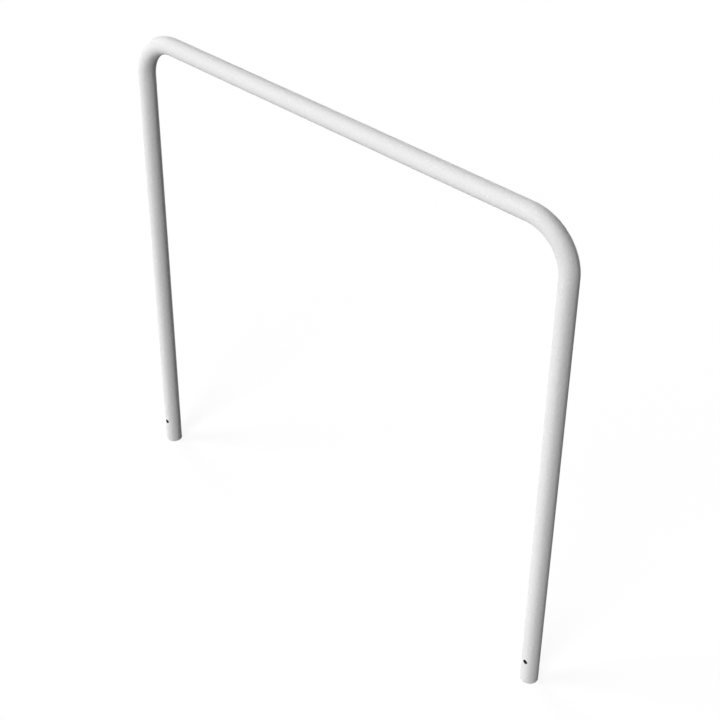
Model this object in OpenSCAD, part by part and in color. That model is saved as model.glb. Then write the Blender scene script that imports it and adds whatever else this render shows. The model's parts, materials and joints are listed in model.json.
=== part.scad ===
// Hoop barrier: an arch of white powder-coated steel tube whose feet are set in concrete.
// The arch is five lengths of tube, joined end to end by four butt welds ground flush.
// The origin is midway between the feet, at the level of their cut ends.
// X runs from the left leg to the right leg, Y goes back through the arch, and Z is up.

/* [Hoop] */
// Width over the outside of both legs
hoop_w = 1500; // [700:50:2500]
// Height from the cut ends of the feet to the top of the rail
hoop_h = 1400; // [700:50:2000]

/* [Tube] */
// Outside diameter of the tube
tube_d = 48.3; // [42:0.1:61]
// Wall thickness of the tube
tube_wall = 2.6; // [2:0.1:4]
// Radius of the bends, to the centreline of the tube
bend_r = 121; // [90:1:200]
// Length of the straight end that each bend keeps past its arc
bend_straight = 25; // [10:1:60]
// Width of the chamfer on both edges of the cut ends of the feet
foot_chamfer = 0.6; // [0.2:0.1:0.8]

/* [Butt welds] */
// Width of each weld at the outside of the tube
weld_cap_w = 5; // [3:0.5:8]
// Gap between the tube ends at the bore, which the round root bead fills
weld_root_w = 1.5; // [0.5:0.1:2.5]

/* [Anchor holes] */
// Diameter of the hole through both walls of each leg, for an anchor rod
anchor_hole_d = 13; // [8:0.5:20]
// Height of the holes over the cut ends of the feet
anchor_hole_h = 75; // [30:1:150]

/* [Hidden] */
$fn = 96;
tube_r = tube_d / 2;
bore_r = tube_r - tube_wall;
// Centrelines of the right leg and of the rail
leg_x = hoop_w / 2 - tube_r;
rail_z = hoop_h - tube_r;
// Centre of the right bend's arc
arc_x = leg_x - bend_r;
arc_z = rail_z - bend_r;
// Middles of the welds on the legs and on the rail
leg_weld_z = arc_z - bend_straight;
rail_weld_x = arc_x - bend_straight;
// Length by which the cut of an anchor hole runs past each side of the tube
cut_runout = 5;
coat_white = [0.93, 0.93, 0.93];

// The ends of a tube are outlines of its wall, listed from the bore to the outside.
// into is 1 where the wall starts at this end and goes up, and -1 where it comes from below.
function welded_end(z, into) = [
    [bore_r, z + into * weld_root_w / 2],
    [tube_r, z + into * weld_cap_w / 2],
];

function square_end(z) = [[bore_r, z], [tube_r, z]];

function foot_end(z) = [
    [bore_r, z + foot_chamfer],
    [bore_r + foot_chamfer, z],
    [tube_r - foot_chamfer, z],
    [tube_r, z + foot_chamfer],
];

function reversed(list) = [for (i = [len(list) - 1 : -1 : 0]) list[i]];

// Round wall along Z between a lower end and an upper end
module straight_tube(lower_end, upper_end) {
    rotate_extrude()
        polygon(concat(lower_end, reversed(upper_end)));
}

// Quarter turn about the origin, from the leg below +X up to the rail, which comes from -X
module bent_tube() {
    rotate([90, 0, 0])
        rotate_extrude(angle = 90)
            translate([bend_r, 0])
                difference() {
                    circle(r = tube_r);
                    circle(r = bore_r);
                }
    translate([bend_r, 0, 0])
        straight_tube(welded_end(-bend_straight, 1), square_end(0));
    translate([0, 0, bend_r])
        rotate([0, 90, 0])
            straight_tube(welded_end(-bend_straight, 1), square_end(0));
}

// Weld about Z that fills the groove between two welded ends meeting at z = 0
module butt_weld() {
    straight_tube(welded_end(0, -1), welded_end(0, 1));
    rotate_extrude()
        translate([bore_r, 0])
            circle(d = weld_root_w);
}

module right_leg() {
    color(coat_white)
        translate([leg_x, 0, 0])
            difference() {
                straight_tube(foot_end(0), welded_end(leg_weld_z, -1));
                translate([0, 0, anchor_hole_h])
                    rotate([90, 0, 0])
                        cylinder(d = anchor_hole_d, h = tube_d + 2 * cut_runout, center = true);
            }
}

module left_leg() {
    mirror([1, 0, 0])
        right_leg();
}

module right_bend() {
    color(coat_white)
        translate([arc_x, 0, arc_z])
            bent_tube();
}

module left_bend() {
    mirror([1, 0, 0])
        right_bend();
}

module top_rail() {
    color(coat_white)
        translate([0, 0, rail_z])
            rotate([0, 90, 0])
                straight_tube(welded_end(-rail_weld_x, 1), welded_end(rail_weld_x, -1));
}

module right_leg_weld() {
    color(coat_white)
        translate([leg_x, 0, leg_weld_z])
            butt_weld();
}

module left_leg_weld() {
    mirror([1, 0, 0])
        right_leg_weld();
}

module right_rail_weld() {
    color(coat_white)
        translate([rail_weld_x, 0, rail_z])
            rotate([0, 90, 0])
                butt_weld();
}

module left_rail_weld() {
    mirror([1, 0, 0])
        right_rail_weld();
}

left_leg();
right_leg();
left_bend();
right_bend();
top_rail();
left_leg_weld();
right_leg_weld();
left_rail_weld();
right_rail_weld();
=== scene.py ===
"""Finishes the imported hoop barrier: finely made tube with a white powder coat, rolled edges at
the feet and the anchor holes, dressed welds, bare steel in the bore, and a plain white studio
at the photograph's angle."""

import json
import math

import bmesh
import bpy
import numpy as np
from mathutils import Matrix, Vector


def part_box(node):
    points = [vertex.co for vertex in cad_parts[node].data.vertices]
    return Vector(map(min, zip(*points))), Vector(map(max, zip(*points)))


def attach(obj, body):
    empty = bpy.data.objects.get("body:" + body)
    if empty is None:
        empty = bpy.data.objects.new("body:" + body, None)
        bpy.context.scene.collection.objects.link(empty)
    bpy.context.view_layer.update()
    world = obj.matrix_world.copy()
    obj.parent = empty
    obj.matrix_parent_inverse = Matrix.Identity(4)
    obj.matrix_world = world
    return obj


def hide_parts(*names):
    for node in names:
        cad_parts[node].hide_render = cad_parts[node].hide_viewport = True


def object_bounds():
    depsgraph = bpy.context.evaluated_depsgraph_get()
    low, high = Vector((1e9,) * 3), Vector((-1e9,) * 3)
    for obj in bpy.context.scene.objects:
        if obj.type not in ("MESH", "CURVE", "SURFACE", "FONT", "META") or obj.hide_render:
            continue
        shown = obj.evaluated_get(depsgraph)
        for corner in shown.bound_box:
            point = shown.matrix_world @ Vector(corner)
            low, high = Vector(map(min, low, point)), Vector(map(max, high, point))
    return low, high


bl_info = {
    "name": "Hoop barrier finish",
    "version": (1, 0, 0),
    "blender": (4, 5, 0),
    "location": "3D View > Sidebar > Hoop",
    "description": "Coats a tubular hoop barrier, rolls its cut edges and sets up a studio",
    "category": "Object",
}

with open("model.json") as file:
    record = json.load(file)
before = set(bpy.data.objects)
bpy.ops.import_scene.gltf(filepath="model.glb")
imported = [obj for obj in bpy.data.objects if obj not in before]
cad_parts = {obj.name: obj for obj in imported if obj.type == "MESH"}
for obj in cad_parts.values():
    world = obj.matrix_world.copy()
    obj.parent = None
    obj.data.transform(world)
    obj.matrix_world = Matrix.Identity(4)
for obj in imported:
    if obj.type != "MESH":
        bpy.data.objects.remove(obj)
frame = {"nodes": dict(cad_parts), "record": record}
cad_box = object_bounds()

MM = 0.001
BODY = "root"

# Share of its range from 0 to 1 that noise spans from its usual trough to its usual crest
NOISE_SPAN = 0.4
# Distances between the broad clouds in the white, the patches in its gloss, and the grains of
# the scale on bare steel
CLOUD_PITCH = 90 * MM
PATCH_PITCH = 14 * MM
SCALE_PITCH = 5 * MM
# A raised speck, as the radii of its top and of its foot
SPECK_TOP = 0.7 * MM
SPECK_FOOT = 3 * MM
# Over an edge the coat thins from the first of these depths in the wall to the second, where
# it has lost this share of its white
THIN_FROM = 0.04 * MM
THIN_AT = 0.5 * MM
THIN_LOSS = 0.05
# The coat ends between its reach and its reach times this
COAT_FADE = 1.6
# How far the patches and clouds change the white and the coat's roughness
PATCH_IN_WHITE = 0.4
PATCH_IN_GLOSS = 0.10
CLOUD_IN_GLOSS = 0.06
# Bare steel: the least strength of its colour and what its scale adds, the same for its
# roughness, how metallic it is, and how high its scale stands
STEEL_DIM = 0.7
STEEL_SPREAD = 0.6
STEEL_ROUGHNESS = 0.5
STEEL_ROUGHNESS_SPREAD = 0.25
STEEL_METAL = 0.85
SCALE_HEIGHT = 0.05 * MM
COAT_IOR = 1.5
COAT_SPECULAR = 0.25

# Points that are alike to this many decimals of a metre are one
MERGE_DECIMALS = 8
# Faces that meet at more than this angle have a crisp edge between them
SHARP_ANGLE = math.radians(35)

# Height of the floor over the level of the feet
FLOOR_Z = 0.05 * MM
FLOOR_SIDES = 96
# What the eye sees of the floor: its own white, and an even white of this strength, which
# takes this share
FLOOR_WHITE = 0.9
EVEN_WHITE = 1.2
EVEN_SHARE = 0.68
# Directions that point lower than this (their z) get the light from under the floor
UNDER_FLOOR = -0.3
LAMP_DISTANCE = 3
SENSOR_WIDTH = 36

# Name, degrees round from the hoop's front, degrees up, strength. The bounce shines up through
# the floor, in place of the light that a floor as pale as it looks would throw back.
SOFT_LAMPS = (
    ("front lamp", 15, 25, 1.88),
    ("left lamp", -45, 25, 1.41),
    ("rear left lamp", -100, 25, 0.86),
    ("low rear lamp", -160, 5, 1.30),
    ("high right lamp", 110, 50, 0.18),
    ("bounce", -60, -35, 0.75),
)


class HoopSizes:
    """The hoop's sizes in metres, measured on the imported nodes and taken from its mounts.

    A run is a distance along the centreline from the middle of the rail."""

    def __init__(self):
        low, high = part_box("right_leg")
        self.leg_x = (low.x + high.x) / 2
        self.tube_r = (high.x - low.x) / 2
        low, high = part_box("top_rail")
        self.rail_z = (low.z + high.z) / 2
        leg = self.corners("right_leg")
        from_axis = np.hypot(leg[:, 0] - self.leg_x, leg[:, 1])
        self.bore_r = float(from_axis.min())
        on_outside = from_axis > (self.bore_r + self.tube_r) / 2
        self.groove_z_outside = float(leg[on_outside, 2].max())
        self.groove_z_bore = float(leg[~on_outside, 2].max())
        # The arc's outermost corner at 45 degrees lies (2 - sqrt 2) bend radii in from the
        # corner that the two centrelines would make, less the tube's own radius
        bend = self.corners("right_bend")
        reach = float((bend[:, 0] + bend[:, 2]).max())
        corner = self.leg_x + self.rail_z + math.sqrt(2) * self.tube_r
        self.bend_r = (corner - reach) / (2 - math.sqrt(2))
        self.arc_x = self.leg_x - self.bend_r
        self.arc_z = self.rail_z - self.bend_r
        weld = self.corners("right_leg_weld")
        leg_weld_z = float(weld[:, 2].max() + weld[:, 2].min()) / 2
        self.half_cap = leg_weld_z - self.groove_z_outside
        self.half_root = leg_weld_z - self.groove_z_bore
        self.bead = self.bore_r - float(np.hypot(weld[:, 0] - self.leg_x, weld[:, 1]).min())
        low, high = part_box("right_rail_weld")
        self.rail_weld_run = (low.x + high.x) / 2
        self.leg_weld_run = self.arc_x + math.pi / 2 * self.bend_r + self.arc_z - leg_weld_z
        mount = next(m for m in frame["record"]["mounts"] if m["name"] == "right_anchor_hole")
        self.hole_r = mount["dims"]["r_mm"] * MM
        self.hole_z = mount["pos_m"][2]

    @staticmethod
    def corners(node):
        """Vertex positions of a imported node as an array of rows."""
        mesh = frame["nodes"][node].data
        flat = np.empty(len(mesh.vertices) * 3)
        mesh.vertices.foreach_get("co", flat)
        return flat.reshape(-1, 3)


HOOP = HoopSizes()


class HoopCoat(bpy.types.PropertyGroup):
    """The white powder coat and the bare steel in the bore."""

    white: bpy.props.FloatVectorProperty(
        name="Coat colour", description="Colour of the powder coat",
        subtype="COLOR", size=3, min=0, max=1, default=(0.86, 0.86, 0.86))
    roughness: bpy.props.FloatProperty(
        name="Coat roughness", description="Roughness of the powder coat",
        subtype="FACTOR", min=0, max=1, default=0.72)
    peel_pitch: bpy.props.FloatProperty(
        name="Peel pitch", description="Distance between the waves of the coat's orange peel",
        unit="LENGTH", min=0.0005, default=7 * MM)
    peel_height: bpy.props.FloatProperty(
        name="Peel height", description="From trough to crest of the coat's orange peel",
        unit="LENGTH", min=0, default=0.32 * MM)
    mottle_pitch: bpy.props.FloatProperty(
        name="Mottle pitch", description="Distance between the lighter places in the white",
        unit="LENGTH", min=0.0005, default=5 * MM)
    mottle: bpy.props.FloatProperty(
        name="Mottle", description="From the darker to the lighter places in the white",
        subtype="FACTOR", min=0, max=0.5, default=0.06)
    speck_pitch: bpy.props.FloatProperty(
        name="Speck pitch", description="Distance between the raised specks in the coat",
        unit="LENGTH", min=0.005, default=22 * MM)
    speck_height: bpy.props.FloatProperty(
        name="Speck height", description="Height of the raised specks in the coat",
        unit="LENGTH", min=0, default=0.25 * MM)
    # Painted highlight: the raised specks are painted lighter, in place of the glints on their
    # tops
    speck_glint: bpy.props.FloatProperty(
        name="Speck lift", description="How much lighter the raised specks are",
        subtype="FACTOR", min=0, max=0.2, default=0.16)
    cloud: bpy.props.FloatProperty(
        name="Cloudiness", description="How far the white varies from place to place",
        subtype="FACTOR", min=0, max=0.2, default=0.018)
    # Painted shade: the bare steel is near-black, which also paints the shade inside the tube
    # and in the walls of its anchor holes
    steel: bpy.props.FloatVectorProperty(
        name="Bare steel", description="Colour of the uncoated steel in the bore",
        subtype="COLOR", size=3, min=0, max=1, default=(0.07, 0.068, 0.065))
    coat_reach: bpy.props.FloatProperty(
        name="Coat reach", description="How far the coat runs in over the edge of a hole",
        unit="LENGTH", min=0, default=0.3 * MM)
    foot_reach: bpy.props.FloatProperty(
        name="Foot reach", description="How far the coat runs up the bore from an open foot",
        unit="LENGTH", min=0, default=14 * MM)


class HoopTube(bpy.types.PropertyGroup):
    """The tube's walls and the welds."""

    around: bpy.props.IntProperty(
        name="Sides", description="Number of faces round the tube",
        min=64, max=512, default=128)
    row: bpy.props.FloatProperty(
        name="Row length", description="Length of the faces along the rail",
        unit="LENGTH", min=0.002, default=20 * MM)
    bend_rows: bpy.props.IntProperty(
        name="Bend rows", description="Number of faces along a bend's arc",
        min=16, max=256, default=64)
    rim: bpy.props.FloatProperty(
        name="Rolled edge", description="Radius of the coated edge at a foot, twice a hole's",
        unit="LENGTH", min=0.0001, default=0.6 * MM)
    seam_height: bpy.props.FloatProperty(
        name="Seam height", description="Height of the tube's own seam in its bore",
        unit="LENGTH", min=0, default=0.4 * MM)
    seam_width: bpy.props.FloatProperty(
        name="Seam width", description="Width of the tube's own seam in its bore",
        unit="LENGTH", min=0.0005, default=3.2 * MM)
    dressing: bpy.props.FloatProperty(
        name="Dressing", description="Depth of the flats that grinding leaves on a weld",
        unit="LENGTH", min=0, default=0.12 * MM)


class HoopStage(bpy.types.PropertyGroup):
    """Floor, light and camera."""

    floor_radius: bpy.props.FloatProperty(
        name="Floor radius", description="Radius of the round floor",
        unit="LENGTH", min=1, default=14)
    floor_tone: bpy.props.FloatProperty(
        name="Floor tone", description="Grey of the floor, as light on the hoop meets it",
        subtype="FACTOR", min=0, max=1, default=0.1)
    underlight: bpy.props.FloatProperty(
        name="Underlight", description="Brightness of the light from under the floor",
        min=0, default=0.5)
    lamp_level: bpy.props.FloatProperty(
        name="Lamp level", description="Factor on the strength of every soft lamp",
        min=0, default=1.0)
    lamp_width: bpy.props.FloatProperty(
        name="Lamp width", description="Angle that each soft lamp spans, seen from the hoop",
        subtype="ANGLE", default=math.radians(32))
    azimuth: bpy.props.FloatProperty(
        name="Azimuth", description="How far the camera stands round from the hoop's front",
        subtype="ANGLE", default=math.radians(45))
    elevation: bpy.props.FloatProperty(
        name="Elevation", description="How far the camera looks down",
        subtype="ANGLE", default=math.atan(1 / math.sqrt(2)))
    distance: bpy.props.FloatProperty(
        name="Distance", description="From the middle of the hoop to the camera",
        unit="LENGTH", min=0.5, default=4.2)
    lens: bpy.props.FloatProperty(
        name="Lens", description="Focal length on a sensor 36 mm wide",
        unit="CAMERA", min=10, default=78.83)
    shift: bpy.props.FloatVectorProperty(
        name="Shift", description="Shift of the picture, as a share of its width",
        size=2, default=(0.034, -0.0136))


class Term:
    """An output of a shader node. Python's operators on it add Math nodes."""

    def __init__(self, finish, socket):
        self.finish = finish
        self.socket = socket

    def math(self, operation, *others):
        """This term first, then the others, through one Math node."""
        return self.finish.math(operation, self, *others)

    def __add__(self, other):
        return self.math("ADD", other)

    def __sub__(self, other):
        return self.math("SUBTRACT", other)

    def __mul__(self, other):
        return self.math("MULTIPLY", other)

    def __truediv__(self, other):
        return self.math("DIVIDE", other)

    def __pow__(self, other):
        return self.math("POWER", other)

    def __radd__(self, other):
        return self.math("ADD", other)

    def __rmul__(self, other):
        return self.math("MULTIPLY", other)

    def __rsub__(self, other):
        return self.finish.math("SUBTRACT", other, self)

    def __abs__(self):
        return self.math("ABSOLUTE")


class Finish:
    """A node tree that is being written, of a material or of the world."""

    def __init__(self, owner):
        owner.use_nodes = True
        self.owner = owner
        self.tree = owner.node_tree
        self.tree.nodes.clear()

    def node(self, kind, settings=None, sockets=None, out=0):
        """Adds a node: first its settings, then the values or links of its sockets."""
        made = self.tree.nodes.new(kind)
        for name, value in (settings or {}).items():
            setattr(made, name, value)
        for name, value in (sockets or {}).items():
            if isinstance(value, Term):
                self.tree.links.new(value.socket, made.inputs[name])
            else:
                made.inputs[name].default_value = value
        return Term(self, made.outputs[out]) if made.outputs else made

    def math(self, operation, *terms):
        """One Math node on terms or numbers."""
        return self.node("ShaderNodeMath", {"operation": operation}, dict(enumerate(terms)))

    def parts(self, vector):
        """The x, y and z of a vector."""
        split = self.node("ShaderNodeSeparateXYZ", {}, {0: vector}).socket.node
        return [Term(self, output) for output in split.outputs]

    def smooth(self, value, low, high):
        """0 below low, 1 above high, and a smooth step between them."""
        return self.node(
            "ShaderNodeMapRange", {"interpolation_type": "SMOOTHSTEP"},
            {"Value": value, "From Min": low, "From Max": high, "To Min": 0.0, "To Max": 1.0})

    def noise(self, place, pitch, detail=2.0, roughness=0.5):
        """Noise from 0 to 1 whose waves lie about a pitch apart."""
        return self.node(
            "ShaderNodeTexNoise", {},
            {"Vector": place, "Scale": 1 / pitch, "Detail": detail, "Roughness": roughness})

    def seen(self):
        """1 for a ray that shows a surface to the camera, straight on, in gloss or through
        glass, and 0 for one that carries light."""
        path = self.node("ShaderNodeLightPath").socket.node
        names = ("Is Camera Ray", "Is Glossy Ray", "Is Transmission Ray")
        straight, gloss, through = (Term(self, path.outputs[name]) for name in names)
        return straight.math("MAXIMUM", gloss).math("MAXIMUM", through)

    def mix_colour(self, factor, first, second):
        """The first colour where the factor is 0 and the second where it is 1."""
        sockets = {"Factor": factor, 6: first, 7: second}
        return self.node("ShaderNodeMix", {"data_type": "RGBA"}, sockets, out=2)


def from_centreline(x, y, z):
    """Distance of a surface point from the tube's centreline, in metres.

    In the hoop's plane the centreline is the edge of a rectangle with round corners. The
    distance to that edge is the length of what is outside the corner's square, plus the
    larger side where the point is inside it, less the bend radius. With y it makes the
    distance in space."""
    across = abs(x) - HOOP.arc_x
    above = z - HOOP.arc_z
    outside = (across.math("MAXIMUM", 0.0) ** 2 + above.math("MAXIMUM", 0.0) ** 2).math("SQRT")
    inside = across.math("MAXIMUM", above).math("MINIMUM", 0.0)
    in_plane = outside + inside - HOOP.bend_r
    return (in_plane ** 2 + y ** 2).math("SQRT")


def slot_finish(slot):
    """The finish of one of the record's material slots, made when it is first asked for."""
    name = f"{slot}_finish"
    coat = bpy.context.scene.hoop_coat
    return bpy.data.materials.get(name) or coat_material(coat, name)


def coat_material(coat, name):
    """Powder coat outside and bare steel inside, told apart by depth in the tube. The steel's
    near-black colour is partly its own and partly painted shade inside the bore and the holes.

    The white is faintly mottled and clouded, with a raised speck here and there that is painted
    lighter as a highlight on its top. It has a faint orange peel and thins over the rolled
    edges.
    At an open foot the coat covers the cut face and runs a little way up the bore."""
    finish = Finish(bpy.data.materials.new(name))
    place = finish.node("ShaderNodeTexCoord", out="Object")
    x, y, z = finish.parts(place)
    depth = HOOP.tube_r - from_centreline(x, y, z)
    scale = finish.noise(place, SCALE_PITCH, detail=4.0, roughness=0.6)
    clouds = finish.noise(place, CLOUD_PITCH, detail=3.0) - 0.5
    patches = finish.noise(place, PATCH_PITCH) - 0.5
    mottle = (finish.noise(place, coat.mottle_pitch, detail=1.0) - 0.5) / NOISE_SPAN
    nearest = finish.node(
        "ShaderNodeTexVoronoi", {}, {"Vector": place, "Scale": 1 / coat.speck_pitch},
        out="Distance") * coat.speck_pitch
    speck = 1 - finish.smooth(nearest, SPECK_TOP, SPECK_FOOT)

    up_bore = z + (scale - 0.5) * coat.foot_reach
    past_foot = finish.smooth(up_bore, 0.5 * coat.foot_reach, coat.foot_reach)
    bare = finish.smooth(depth, coat.coat_reach, COAT_FADE * coat.coat_reach) * past_foot
    thin = finish.smooth(depth, THIN_FROM, THIN_AT)
    # The specks' lift in the white is a painted highlight, in place of glints on their tops
    white_level = (
        1.0 + coat.cloud * (clouds + PATCH_IN_WHITE * patches) + coat.mottle * mottle
        + coat.speck_glint * speck - THIN_LOSS * thin)
    white = finish.node(
        "ShaderNodeVectorMath", {"operation": "SCALE"},
        {0: tuple(coat.white), "Scale": white_level})
    # Bare steel in the bore and hole walls: near-black, partly its own colour and partly painted
    # shade inside the tube
    steel = finish.node(
        "ShaderNodeVectorMath", {"operation": "SCALE"},
        {0: tuple(coat.steel), "Scale": STEEL_DIM + STEEL_SPREAD * scale})
    colour = finish.mix_colour(bare, white, steel)
    coated = coat.roughness + PATCH_IN_GLOSS * patches + CLOUD_IN_GLOSS * clouds
    uncoated = STEEL_ROUGHNESS + STEEL_ROUGHNESS_SPREAD * scale
    roughness = coated * (1 - bare) + uncoated * bare
    peel = finish.noise(place, coat.peel_pitch, detail=1.0) / NOISE_SPAN
    relief = (peel * coat.peel_height + speck * coat.speck_height) * (1 - bare)
    relief = relief + scale * SCALE_HEIGHT * bare
    normal = finish.node(
        "ShaderNodeBump", {}, {"Height": relief, "Strength": 1.0, "Distance": 1.0})
    shader = finish.node(
        "ShaderNodeBsdfPrincipled", {"distribution": "MULTI_GGX"},
        {"Base Color": colour, "Roughness": roughness, "Metallic": STEEL_METAL * bare,
         "Normal": normal, "IOR": COAT_IOR, "Specular IOR Level": COAT_SPECULAR})
    finish.node("ShaderNodeOutputMaterial", {}, {"Surface": shader})
    return finish.owner


def finished_mesh(name, parts):
    """One closed mesh from pieces of surface given as (points, quads).

    Points that coincide become one, faces turn outwards, and sharp edges stay crisp while
    the rest is shaded smooth."""
    offsets = np.cumsum([0] + [len(points) for points, _ in parts[:-1]])
    points = np.concatenate([points for points, _ in parts])
    quads = np.concatenate([quads + start for (_, quads), start in zip(parts, offsets)])
    _, first, place = np.unique(
        np.round(points, MERGE_DECIMALS), axis=0, return_index=True, return_inverse=True)
    quads = place.reshape(-1)[quads]
    used, quads = np.unique(quads, return_inverse=True)
    points = points[first[used]]
    quads = quads.reshape(-1, 4)
    mesh = bpy.data.meshes.new(name)
    mesh.from_pydata(points, [], quads)
    edit = bmesh.new()
    edit.from_mesh(mesh)
    bmesh.ops.recalc_face_normals(edit, faces=edit.faces)
    edit.to_mesh(mesh)
    edit.free()
    mesh.shade_smooth()
    mesh.set_sharp_from_angle(angle=SHARP_ANGLE)
    if mesh.validate():
        raise ValueError(f"{name} has faces that don't hold together")
    return mesh


def grid_quads(rows, columns, closed_rows=True):
    """Corner numbers of the quads of a grid, as an array (row, column, 4).

    Its last column joins its first, and so does its last row where the rows are closed."""
    row = np.arange(rows if closed_rows else rows - 1)[:, None]
    column = np.arange(columns)[None, :]
    next_row = (row + 1) % rows
    next_column = (column + 1) % columns
    corners = np.broadcast_arrays(
        row * columns + column, row * columns + next_column,
        next_row * columns + next_column, next_row * columns + column)
    return np.stack(corners, axis=-1)


def round_centreline(run, radius, around):
    """Points of a tube about the hoop's centreline, as an array (row, column, 3).

    Each row has a run, its distance along the centreline from the middle of the rail, and a
    radius, which may differ from column to column. The turn is what the run has past the
    rail's straight part, divided by the bend radius and held between 0 and a quarter turn.
    The centre lies at the straight part plus the bend radius times the turn's sine across,
    and at the rail's height less the bend radius times one less its cosine. What the run has
    past the arc goes down the leg. The row is a circle in the plane of y and the direction
    out of the hoop, which leans across by the turn."""
    angles = np.linspace(0, 2 * np.pi, around, endpoint=False)
    length = np.abs(run)
    turn = np.clip((length - HOOP.arc_x) / HOOP.bend_r, 0, np.pi / 2)
    across = np.minimum(length, HOOP.arc_x) + HOOP.bend_r * np.sin(turn)
    down = HOOP.bend_r * (1 - np.cos(turn)) + np.maximum(
        length - HOOP.arc_x - np.pi / 2 * HOOP.bend_r, 0)
    outwards = radius * np.cos(angles)
    x = np.sign(run)[:, None] * (across[:, None] + outwards * np.sin(turn)[:, None])
    y = np.broadcast_to(radius * np.sin(angles), x.shape)
    z = HOOP.rail_z - down[:, None] + outwards * np.cos(turn)[:, None]
    return np.stack([x, y, z], axis=-1)


def tube_mesh(name, start, end, tube, row):
    """A length of tube between two welds, whose middles lie at the runs start and end.

    Its outline goes along the outside, down the groove, back along the bore and up the
    groove at the start. The outside stops half a weld's cap short of the weld's middle, and
    the bore half its root."""
    rows = max(2, round((end - start) / row) + 1)
    inner = np.linspace(start, end, rows)[1:-1]
    outside = np.concatenate([[start + HOOP.half_cap], inner, [end - HOOP.half_cap]])
    bore = np.concatenate([[start + HOOP.half_root], inner, [end - HOOP.half_root]])[::-1]
    run = np.concatenate([outside, bore])
    radius = np.repeat([HOOP.tube_r, HOOP.bore_r], [len(outside), len(bore)])[:, None]
    points = round_centreline(run, radius, tube.around)
    quads = grid_quads(len(run), tube.around)
    return finished_mesh(name, [(points.reshape(-1, 3), quads.reshape(-1, 4))])


# Rows across a weld's cap and round its bead, and numbers of flats and ripples round the tube
CAP_ROWS = 9
BEAD_ROWS = 13
FLATS = (3, 7, 11)
RIPPLES = 24
RIPPLE_SHARE = 0.12
# Turn of the flats with the weld's run, in radians to a metre, so that no two welds are alike
FLATS_TURN = 40


def weld_mesh(name, middle, tube):
    """A butt weld about the run of its middle, ground flush outside, with a round root bead.

    Grinding leaves flats round the weld. Their depth is the dressing times the square of a
    cosine of the run, which is nothing at both edges of the cap, times the mean of three
    waves round the tube, from 0 to 1. The bead is half a circle across, and its height
    ripples round the bore."""
    cap = np.linspace(-1, 1, CAP_ROWS)
    angles = np.linspace(0, 2 * np.pi, tube.around, endpoint=False)
    turned = angles + middle * FLATS_TURN
    waves = sum(np.cos(count * turned) for count in FLATS) / len(FLATS)
    flats = tube.dressing * (0.5 + 0.5 * waves) * np.cos(cap * np.pi / 2)[:, None] ** 2
    bead = np.linspace(np.pi / 2, -np.pi / 2, BEAD_ROWS)
    run = middle + np.concatenate([cap * HOOP.half_cap, HOOP.half_root * np.sin(bead)])
    ripple = 1 + RIPPLE_SHARE * np.sin(RIPPLES * angles)
    root = HOOP.bore_r - HOOP.bead * np.cos(bead)[:, None] * ripple / ripple.max()
    radius = np.concatenate([HOOP.tube_r - flats, root])
    points = round_centreline(run, radius, tube.around)
    quads = grid_quads(len(run), tube.around)
    return finished_mesh(name, [(points.reshape(-1, 3), quads.reshape(-1, 4))])


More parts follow.
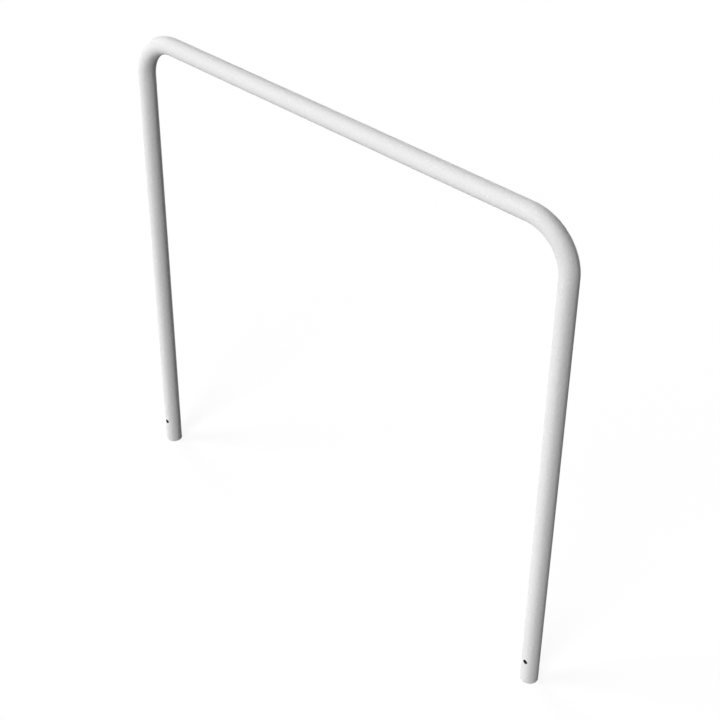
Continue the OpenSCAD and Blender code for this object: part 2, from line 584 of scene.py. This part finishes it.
class LegSurface:
    """The wall of a leg about its own axis, with a hole through it at the front and back."""

    # Faces from the hole's middle to its window's edge, the height of such a face, and the
    # slack with which faces of that height are told from the rest
    HALF_WINDOW = 10
    WINDOW_ROW = 1.2 * MM
    ROW_SLACK = 1.01
    # Heights of the rows between the foot and the window
    FOOT_ROWS = (12 * MM, 36 * MM)
    # Rows round a rolled edge, and from the window's edge to the rolled edge of its hole
    ROLL_STEPS = 6
    SPREAD_ROWS = 8

    def __init__(self, tube, seam_side):
        self.tube = tube
        self.angles = np.linspace(0, 2 * np.pi, tube.around, endpoint=False)
        spread = tube.seam_width / 2 / HOOP.bore_r
        from_seam = np.angle(np.exp(1j * (self.angles - seam_side * np.pi / 2)))
        self.seam = tube.seam_height * np.exp(-(from_seam / spread) ** 2)

    def window_rows(self):
        """Heights of the closely spaced rows beside a hole."""
        steps = np.arange(-self.HALF_WINDOW, self.HALF_WINDOW + 1)
        return HOOP.hole_z + steps * self.WINDOW_ROW

    def wall_loop(self):
        """The wall's closed outline, as radius, height and whether the point is on the bore.

        It goes up the outside, in over the groove, down the bore, and round the foot, whose
        two edges are quarter circles."""
        rim = self.tube.rim
        window = self.window_rows()
        foot = np.array([rim, 2 * rim, *self.FOOT_ROWS])
        rows = round((HOOP.groove_z_outside - window[-1]) / self.tube.row)
        above = np.linspace(window[-1], HOOP.groove_z_outside, rows + 1)[1:]
        outside = np.concatenate([foot, window, above])
        above_bore = np.append(above[:-1], HOOP.groove_z_bore)
        bore = np.concatenate([foot, window, above_bore])[::-1]
        turn = np.linspace(0, np.pi / 2, self.ROLL_STEPS + 1)[1:]
        inner_edge = (HOOP.bore_r + rim * (1 - np.cos(turn)), rim * (1 - np.sin(turn)))
        outer_edge = (
            HOOP.tube_r - rim * (1 - np.sin(turn[:-1])), rim * (1 - np.cos(turn[:-1])))
        radius = np.concatenate([
            np.full(len(outside), HOOP.tube_r), np.full(len(bore), HOOP.bore_r),
            inner_edge[0], [HOOP.tube_r - rim], outer_edge[0]])
        height = np.concatenate([outside, bore, inner_edge[1], [0.0], outer_edge[1]])
        on_bore = np.concatenate([
            np.zeros(len(outside)), np.ones(len(bore) + self.ROLL_STEPS),
            np.zeros(self.ROLL_STEPS)])
        return radius, height, on_bore

    def wall(self):
        """The outline carried round the axis, without the windows that the holes take."""
        radius, height, on_bore = self.wall_loop()
        reach = radius[:, None] - on_bore[:, None] * self.seam[None, :]
        x = reach * np.sin(self.angles)
        y = -reach * np.cos(self.angles)
        z = np.broadcast_to(height[:, None], x.shape)
        points = np.stack([x, y, z], axis=-1).reshape(-1, 3)
        quads = grid_quads(len(height), len(self.angles))
        around, half = len(self.angles), self.HALF_WINDOW
        column = np.arange(around)
        side = np.minimum(column % (around // 2), (-column - 1) % (around // 2))
        middle = (height + np.roll(height, -1)) / 2
        step = np.abs(height - np.roll(height, -1))
        same_height = step < self.ROW_SLACK * self.WINDOW_ROW
        near = np.abs(middle - HOOP.hole_z) < half * self.WINDOW_ROW
        cut = (near & same_height)[:, None] & (side < half)[None, :]
        return points, quads[~cut]

    def window_edge(self, radius):
        """The window's edge, unrolled about the hole's middle, as arc length and height."""
        half = self.HALF_WINDOW
        run = np.arange(-half, half)
        fixed = np.full(2 * half, half)
        column = np.concatenate([run, fixed, -run, -fixed])
        row = np.concatenate([-fixed, run, fixed, -run])
        step = 2 * np.pi / len(self.angles)
        return column * step * radius, row * self.WINDOW_ROW

    def spread_out(self, radius, rim, shares):
        """Rows of points from the window's edge (share 0) to the hole's rolled edge (share 1).

        They are straight in the unrolled surface, where the edge is the drilled circle."""
        edge_arc, edge_row = self.window_edge(radius)
        turn = np.arctan2(edge_row, edge_arc)
        circle = HOOP.hole_r + rim
        circle_arc = radius * np.arcsin(circle * np.cos(turn) / radius)
        circle_row = circle * np.sin(turn)
        share = np.asarray(shares)[:, None]
        arc = (1 - share) * edge_arc + share * circle_arc
        row = (1 - share) * edge_row + share * circle_row
        turned = arc / radius
        return np.stack([radius * np.sin(turned), radius * np.cos(turned), row], -1)

    def rolled(self, radius, rim, inwards):
        """Rows of points round the hole's edge, a quarter circle from the face into the hole.

        The distance from the hole's axis shrinks by the sine of the turn and the depth under
        the face grows by one less its cosine."""
        edge_arc, edge_row = self.window_edge(radius)
        around = np.arctan2(edge_row, edge_arc)
        turn = np.linspace(0, np.pi / 2, self.ROLL_STEPS + 1)[1:, None]
        ring = HOOP.hole_r + rim * (1 - np.sin(turn))
        x = ring * np.cos(around)
        y = np.sqrt(radius ** 2 - x ** 2) + inwards * rim * (1 - np.cos(turn))
        return np.stack([x, y, ring * np.sin(around)], -1)

    def hole(self, side):
        """From the outside's window in through the wall to the bore's window, at one side."""
        rim, burr = self.tube.rim / 2, self.tube.rim / 3
        shares = 1 - (1 - np.linspace(0, 1, self.SPREAD_ROWS)) ** 2
        rows = np.concatenate([
            self.spread_out(HOOP.tube_r, rim, shares),
            self.rolled(HOOP.tube_r, rim, -1),
            self.rolled(HOOP.bore_r, burr, 1)[::-1],
            self.spread_out(HOOP.bore_r, burr, shares)[::-1]])
        points = (rows * (1, side, 1) + (0, 0, HOOP.hole_z)).reshape(-1, 3)
        quads = grid_quads(rows.shape[0], rows.shape[1], closed_rows=False)
        return points, quads.reshape(-1, 4)

    def mesh(self, name, leg_x):
        """The whole leg in its place."""
        parts = [self.wall(), self.hole(-1), self.hole(1)]
        moved = [(points + (leg_x, 0, 0), quads) for points, quads in parts]
        return finished_mesh(name, moved)


def add_piece(node, mesh, slot):
    """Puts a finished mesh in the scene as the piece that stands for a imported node. Its finish
    is the one of the record's material slot."""
    mesh.materials.append(slot_finish(slot))
    piece = bpy.data.objects.new(mesh.name, mesh)
    bpy.context.scene.collection.objects.link(piece)
    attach(piece, BODY)
    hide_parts(node)


class HOOP_OT_rail(bpy.types.Operator):
    """Make the top rail"""

    bl_idname = "hoop.rail"
    bl_label = "Make rail"

    def execute(self, context):
        tube = context.scene.hoop_tube
        half = HOOP.rail_weld_run
        mesh = tube_mesh("top_rail_coated", -half, half, tube, tube.row)
        add_piece("top_rail", mesh, "powder_coat")
        return {"FINISHED"}


class HOOP_OT_bends(bpy.types.Operator):
    """Make the two bends"""

    bl_idname = "hoop.bends"
    bl_label = "Make bends"

    def execute(self, context):
        tube = context.scene.hoop_tube
        row = math.pi / 2 * HOOP.bend_r / tube.bend_rows
        low, high = HOOP.rail_weld_run, HOOP.leg_weld_run
        for name, start, end in (("left_bend", -high, -low), ("right_bend", low, high)):
            mesh = tube_mesh(f"{name}_coated", start, end, tube, row)
            add_piece(name, mesh, "powder_coat")
        return {"FINISHED"}


class HOOP_OT_legs(bpy.types.Operator):
    """Make the two legs with rolled edges at their feet and anchor holes"""

    bl_idname = "hoop.legs"
    bl_label = "Make legs"

    def execute(self, context):
        for name, side in (("left_leg", -1), ("right_leg", 1)):
            surface = LegSurface(context.scene.hoop_tube, seam_side=-side)
            mesh = surface.mesh(f"{name}_coated", side * HOOP.leg_x)
            add_piece(name, mesh, "powder_coat")
        return {"FINISHED"}


class HOOP_OT_welds(bpy.types.Operator):
    """Make the four dressed welds"""

    bl_idname = "hoop.welds"
    bl_label = "Make welds"

    def execute(self, context):
        for joint, run in (("leg", HOOP.leg_weld_run), ("rail", HOOP.rail_weld_run)):
            for side, sign in (("left", -1), ("right", 1)):
                name = f"{side}_{joint}_weld"
                mesh = weld_mesh(f"{name}_coated", sign * run, context.scene.hoop_tube)
                add_piece(name, mesh, "coated_weld")
        return {"FINISHED"}


def floor_material(stage):
    """Pale floor: a darker grey to the light that it throws back, and white to the eye.

    What is seen is a share of the lit floor in an even white, which keeps a faint shadow of
    the hoop. The floor is clear from below, and under each leg, so that some light reaches
    the open feet."""
    finish = Finish(bpy.data.materials.new("floor"))
    on_view = finish.seen()
    tone = stage.floor_tone + (FLOOR_WHITE - stage.floor_tone) * on_view
    lit = finish.node("ShaderNodeBsdfDiffuse", {}, {"Color": tone})
    even = finish.node(
        "ShaderNodeEmission", {}, {"Color": (1, 1, 1, 1), "Strength": EVEN_WHITE})
    seen = finish.node("ShaderNodeMixShader", {}, {0: on_view * EVEN_SHARE, 1: lit, 2: even})
    x, y, _ = finish.parts(finish.node("ShaderNodeTexCoord", out="Object"))
    from_leg = ((abs(x) - HOOP.leg_x) ** 2 + y ** 2).math("SQRT")
    under_leg = from_leg.math("LESS_THAN", (HOOP.bore_r + HOOP.tube_r) / 2)
    below = finish.node("ShaderNodeNewGeometry", out="Backfacing")
    clear = finish.node("ShaderNodeBsdfTransparent")
    shader = finish.node(
        "ShaderNodeMixShader", {}, {0: below.math("MAXIMUM", under_leg), 1: seen, 2: clear})
    finish.node("ShaderNodeOutputMaterial", {}, {"Surface": shader})
    return finish.owner


def light_world(stage):
    """Background of plain white, and an even light from under the floor, which reaches only
    what stands on it."""
    world = bpy.data.worlds.new("studio")
    bpy.context.scene.world = world
    finish = Finish(world)
    on_view = finish.seen()
    _, _, up = finish.parts(finish.node("ShaderNodeTexCoord", out="Generated"))
    below = up.math("LESS_THAN", UNDER_FLOOR)
    strength = stage.underlight * below * (1 - on_view) + on_view
    white = (1, 1, 1, 1)
    light = finish.node("ShaderNodeBackground", {}, {"Color": white, "Strength": strength})
    finish.node("ShaderNodeOutputWorld", {}, {"Surface": light})


def add_floor(stage):
    """A round floor, a hair over the level of the feet so that the cut faces lie clear of it.

    It takes shadows and casts none, so the bounce passes it."""
    angles = np.linspace(0, 2 * np.pi, FLOOR_SIDES, endpoint=False)
    rim = np.stack([np.cos(angles), np.sin(angles), 0 * angles], -1) * stage.floor_radius
    mesh = bpy.data.meshes.new("floor")
    mesh.from_pydata(rim + (0, 0, FLOOR_Z), [], [np.arange(len(rim))])
    mesh.materials.append(floor_material(stage))
    floor = bpy.data.objects.new("floor", mesh)
    floor.visible_shadow = False
    bpy.context.scene.collection.objects.link(floor)


def direction(azimuth, elevation):
    """Unit vector that stands azimuth round from the hoop's front (-Y) towards +X, and
    elevation up."""
    level = math.cos(elevation)
    return Vector((
        math.sin(azimuth) * level, -math.cos(azimuth) * level, math.sin(elevation)))


def face(thing, way):
    """Turns a lamp or camera so that it looks along a vector."""
    thing.rotation_euler = way.to_track_quat("-Z", "Y").to_euler()


def add_lamps(stage, target):
    """Wide soft lamps, far enough away to light both legs alike."""
    for name, azimuth, elevation, strength in SOFT_LAMPS:
        lamp = bpy.data.lights.new(name, "SUN")
        lamp.energy = strength * stage.lamp_level
        lamp.angle = stage.lamp_width
        holder = bpy.data.objects.new(name, lamp)
        way = direction(math.radians(azimuth), math.radians(elevation))
        holder.location = Vector(target) + way * LAMP_DISTANCE
        bpy.context.scene.collection.objects.link(holder)
        face(holder, -way)


def add_camera(stage, target):
    """The photograph's view."""
    camera = bpy.data.cameras.new("camera")
    camera.lens = stage.lens
    camera.sensor_width = SENSOR_WIDTH
    camera.shift_x, camera.shift_y = stage.shift
    holder = bpy.data.objects.new("camera", camera)
    back = direction(stage.azimuth, stage.elevation)
    holder.location = Vector(target) + back * stage.distance
    bpy.context.scene.collection.objects.link(holder)
    face(holder, -back)
    bpy.context.scene.camera = holder


class HOOP_OT_stage(bpy.types.Operator):
    """Set up the floor, the light and the camera"""

    bl_idname = "hoop.stage"
    bl_label = "Set up studio"

    def execute(self, context):
        stage = context.scene.hoop_stage
        target = (cad_box[0] + cad_box[1]) / 2
        add_floor(stage)
        light_world(stage)
        add_lamps(stage, target)
        add_camera(stage, target)
        context.scene.view_settings.view_transform = "Standard"
        return {"FINISHED"}


class HOOP_PT_panel(bpy.types.Panel):
    """The hoop's steps and their settings"""

    bl_idname = "HOOP_PT_panel"
    bl_label = "Hoop barrier"
    bl_space_type = "VIEW_3D"
    bl_region_type = "UI"
    bl_category = "Hoop"

    def draw(self, context):
        for operator in OPERATORS:
            self.layout.operator(operator.bl_idname)
        for name, group in GROUPS.items():
            box = self.layout.box()
            for setting in group.__annotations__:
                box.prop(getattr(context.scene, name), setting)


GROUPS = {"hoop_coat": HoopCoat, "hoop_tube": HoopTube, "hoop_stage": HoopStage}
OPERATORS = (HOOP_OT_rail, HOOP_OT_bends, HOOP_OT_legs, HOOP_OT_welds, HOOP_OT_stage)


def register():
    for kind in (*GROUPS.values(), *OPERATORS, HOOP_PT_panel):
        bpy.utils.register_class(kind)
    for name, group in GROUPS.items():
        setattr(bpy.types.Scene, name, bpy.props.PointerProperty(type=group))


def unregister():
    for name in GROUPS:
        delattr(bpy.types.Scene, name)
    for kind in (HOOP_PT_panel, *reversed(OPERATORS), *GROUPS.values()):
        bpy.utils.unregister_class(kind)


def main():
    register()
    bpy.ops.hoop.rail()
    bpy.ops.hoop.bends()
    bpy.ops.hoop.legs()
    bpy.ops.hoop.welds()
    bpy.ops.hoop.stage()


if __name__ == "__main__":
    main()
